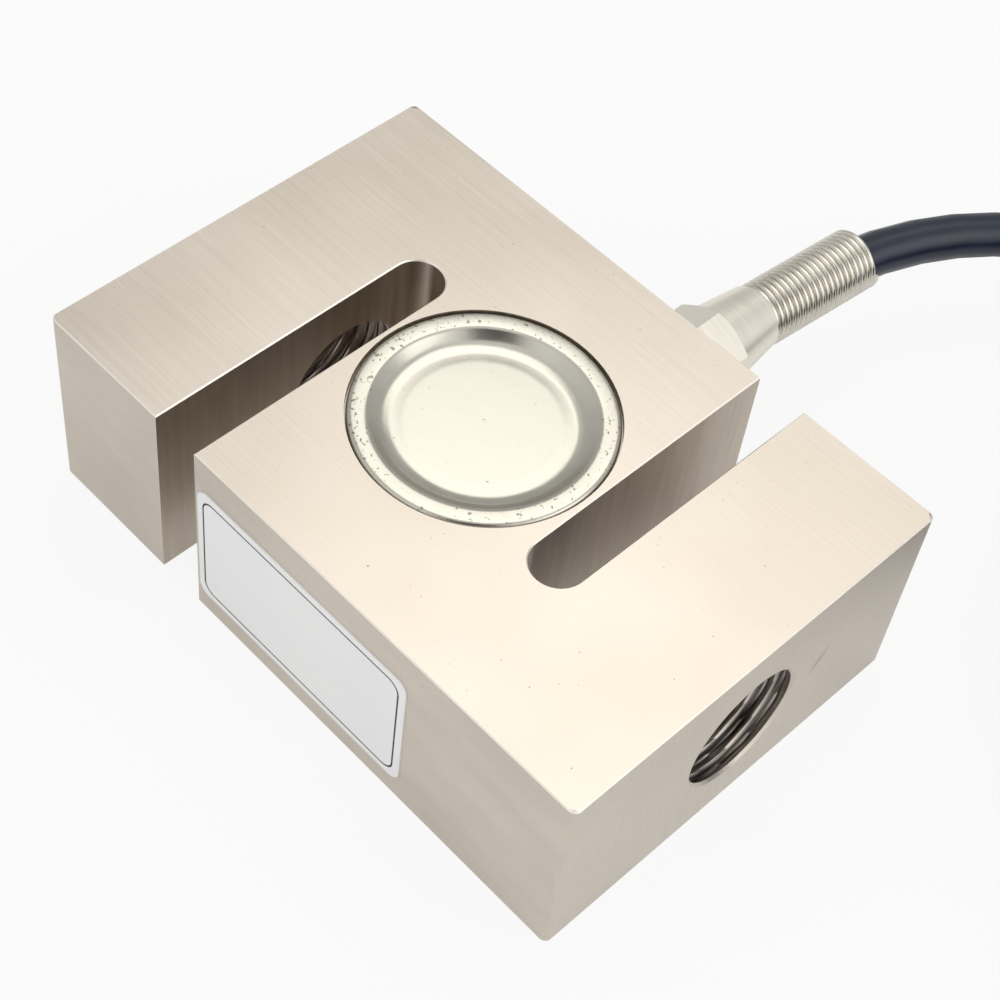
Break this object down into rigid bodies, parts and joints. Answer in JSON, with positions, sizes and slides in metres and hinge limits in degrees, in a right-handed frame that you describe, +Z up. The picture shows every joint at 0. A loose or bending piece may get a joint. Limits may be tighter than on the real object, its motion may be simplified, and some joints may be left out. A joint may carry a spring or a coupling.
{
  "type": "s type load cell",
  "caption": "Block-shaped tension and compression force sensor: a steel S cut by two slots, with a threaded hole at each end, round covers over its gauge pockets and a spring-guarded cable.",
  "frame": {"origin": "centre of the steel block's outline on the surface it lies on", "axes": "+X along the line of pull, towards the prong opposite the label's left end; +Y towards the cable gland; +Z up, out of the upper round cover"},
  "size_m": [0.1668, 0.1307, 0.026],
  "materials": {
    "nickel_plated_steel": "ground flat and plated, fine straight lines",
    "plated_sheet": "pressed and bright plated",
    "gauge_foil": "satin film",
    "silicone": "soft satin",
    "board_laminate": "satin",
    "resistor_lacquer": "glossy lacquer",
    "nickel_plated_brass": "turned and bright plated",
    "washer_fibre": "matt",
    "spring_steel": "bright drawn wire",
    "cable_jacket": "smooth, half gloss",
    "tie_nylon": "satin",
    "shrink_sleeve": "satin",
    "core_red": "smooth",
    "core_black": "smooth",
    "core_green": "smooth",
    "core_white": "smooth",
    "tinned_copper": "tinned",
    "label_film": "silvery satin film"
  },
  "bodies": {
    "root": {"spring_element": "nickel_plated_steel", "top_cover": "plated_sheet", "bottom_cover": "plated_sheet", "top_strain_gauge_a": "gauge_foil", "top_strain_gauge_b": "gauge_foil", "bottom_strain_gauge_a": "gauge_foil", "bottom_strain_gauge_b": "gauge_foil", "top_gauge_coating": "silicone", "bottom_gauge_coating": "silicone", "terminal_board": "board_laminate", "zero_resistor": "resistor_lacquer", "span_resistor": "resistor_lacquer", "gland_body": "nickel_plated_brass", "gland_cap": "nickel_plated_brass", "gland_washer": "washer_fibre", "strain_relief_spring": "spring_steel", "cable": "cable_jacket", "cable_coil": "cable_jacket", "cable_tail": "cable_jacket", "cable_tie": "tie_nylon", "end_sleeve": "shrink_sleeve", "core_red": "core_red", "core_black": "core_black", "core_green": "core_green", "core_white": "core_white", "core_red_strands": "tinned_copper", "core_black_strands": "tinned_copper", "core_green_strands": "tinned_copper", "core_white_strands": "tinned_copper", "shield_drain": "tinned_copper", "rating_label": "label_film"}
  },
  "joints": []
}
